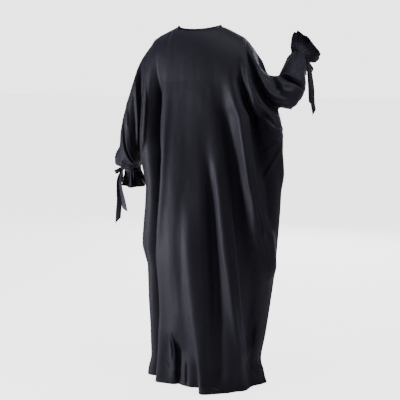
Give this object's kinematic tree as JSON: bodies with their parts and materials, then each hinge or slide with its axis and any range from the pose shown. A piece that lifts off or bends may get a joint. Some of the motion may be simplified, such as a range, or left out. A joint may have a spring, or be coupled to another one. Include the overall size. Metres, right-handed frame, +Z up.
{
  "type": "abaya",
  "caption": "Floor-length batwing abaya in plain black crepe, as worn: open neck and hem, full sleeves gathered by bow ties above frilled cuffs, left arm hanging and right arm raised.",
  "frame": {"origin": "the middle of the neck opening, level with the high points of the shoulder seams, where the garment is held", "axes": "+Z up, -Y towards the garment's front, +X towards the wearer's left"},
  "size_m": [0.8213, 0.4622, 1.4271],
  "materials": {
    "cloth": "matt black crepe with a faint cool sheen",
    "trim": "the same crepe, folded and pressed"
  },
  "bodies": {
    "root": {"back_panel": "cloth", "front_panel": "cloth", "sleeve_left": "cloth", "sleeve_right": "cloth", "cuff_left": "cloth", "cuff_right": "cloth", "tie_left": "trim", "tie_right": "trim", "neck_binding": "trim"}
  },
  "joints": []
}
